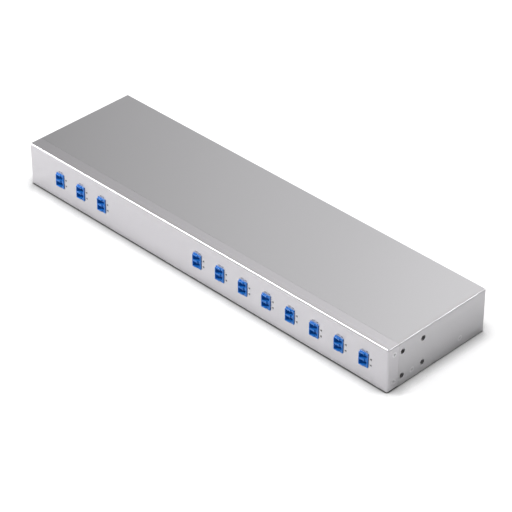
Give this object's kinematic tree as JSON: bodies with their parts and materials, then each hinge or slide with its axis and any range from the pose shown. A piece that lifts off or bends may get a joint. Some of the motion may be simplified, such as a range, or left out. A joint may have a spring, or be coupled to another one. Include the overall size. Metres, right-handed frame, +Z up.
{
  "type": "coarse wavelength division multiplexer",
  "caption": "Flat 1U sheet metal case that splits and joins wavelengths, with duplex LC fibre adapters along its front face and holes for rack ears on its sides.",
  "frame": {"origin": "centre of the case's bottom face", "axes": "+X to the right seen from the front, +Y to the rear, +Z up; the front face looks to -Y"},
  "size_m": [0.44, 0.122, 0.0436],
  "materials": {
    "case_metal": "satin silver",
    "screw_steel": "plain",
    "nut_steel": "zinc plated",
    "spring_steel": "plain",
    "module_shell": "black anodised",
    "spool_plastic": "matt black",
    "fibre_jacket": "yellow jacket",
    "coupler_tube": "satin tube",
    "adapter_plastic": "satin blue",
    "sleeve_ceramic": "zirconia white",
    "plug_plastic": "satin blue"
  },
  "bodies": {
    "root": {"adapter_clips": "spring_steel", "adapter_rear_halves": "adapter_plastic", "channel_tails": "fibre_jacket", "chassis_tray": "case_metal", "coupler_holder": "spool_plastic", "coupler_leads": "fibre_jacket", "cover_nuts": "nut_steel", "cover_screws": "screw_steel", "demux_loom": "fibre_jacket", "demux_module": "module_shell", "fibre_coil": "fibre_jacket", "fibre_spool": "spool_plastic", "front_panel": "case_metal", "lane_clips": "spool_plastic", "lc_adapter_01": "adapter_plastic", "lc_adapter_02": "adapter_plastic", "lc_adapter_03": "adapter_plastic", "lc_adapter_04": "adapter_plastic", "lc_adapter_05": "adapter_plastic", "lc_adapter_06": "adapter_plastic", "lc_adapter_07": "adapter_plastic", "lc_adapter_08": "adapter_plastic", "lc_adapter_09": "adapter_plastic", "lc_adapter_10": "adapter_plastic", "lc_adapter_11": "adapter_plastic", "line_tails": "fibre_jacket", "module_screws": "screw_steel", "mux_loom": "fibre_jacket", "mux_module": "module_shell", "panel_nuts": "nut_steel", "panel_screws": "screw_steel", "plug_pair_01": "plug_plastic", "plug_pair_02": "plug_plastic", "plug_pair_03": "plug_plastic", "plug_pair_04": "plug_plastic", "plug_pair_05": "plug_plastic", "plug_pair_06": "plug_plastic", "plug_pair_07": "plug_plastic", "plug_pair_08": "plug_plastic", "plug_pair_09": "plug_plastic", "plug_pair_10": "plug_plastic", "plug_pair_11": "plug_plastic", "rack_ear_nuts": "nut_steel", "sleeve_holders": "sleeve_ceramic", "spool_screws": "screw_steel", "tap_coupler_1": "coupler_tube", "tap_coupler_2": "coupler_tube", "top_cover": "case_metal"}
  },
  "joints": []
}
